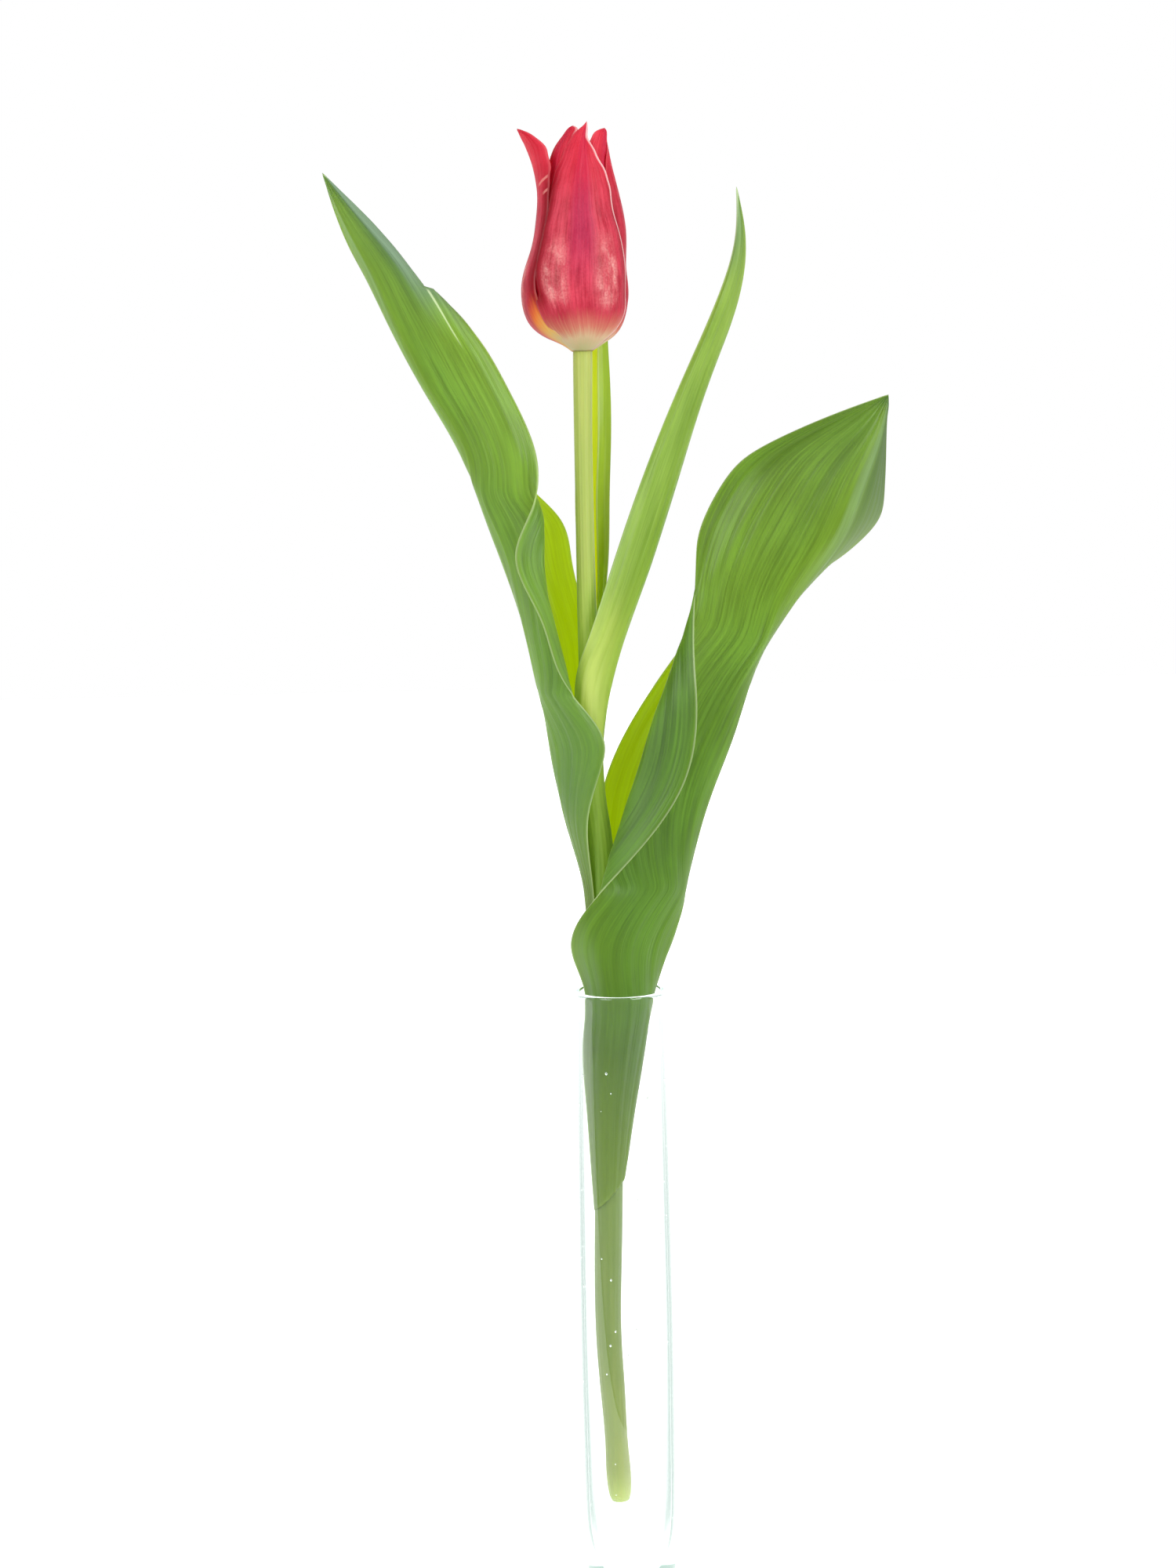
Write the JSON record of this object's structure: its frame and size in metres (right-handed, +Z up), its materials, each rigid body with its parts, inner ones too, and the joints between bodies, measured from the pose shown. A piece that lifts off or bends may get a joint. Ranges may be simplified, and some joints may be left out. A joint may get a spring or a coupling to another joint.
{
  "type": "tulip in a tube vase",
  "caption": "Single cut tulip with a closed, pointed crimson flower and broad folded leaves, hung by its lowest leaf in the mouth of a clear glass tube vase.",
  "frame": {"origin": "centre of the vase's flat base, on the surface it stands on", "axes": "+Z up along the vase's axis; the picture is seen from -Y, with the big leaf towards +X and the left leaf towards -X"},
  "size_m": [0.1819, 0.0562, 0.5018],
  "materials": {
    "glass": "gloss",
    "stem": "satin",
    "leaf": "satin",
    "tepal": "satin",
    "pistil": "matte",
    "stamen": "matte"
  },
  "bodies": {
    "root": {"vase": "glass", "stem": "stem", "leaf_lower_right": "leaf", "leaf_left": "leaf", "leaf_upper_right": "leaf", "leaf_upper_back": "leaf", "tepal_outer_front": "tepal", "tepal_outer_right": "tepal", "tepal_outer_left": "tepal", "tepal_inner_left": "tepal", "tepal_inner_right": "tepal", "tepal_inner_back": "tepal", "pistil": "pistil", "stamen_1": "stamen", "stamen_2": "stamen", "stamen_3": "stamen", "stamen_4": "stamen", "stamen_5": "stamen", "stamen_6": "stamen"}
  },
  "joints": []
}
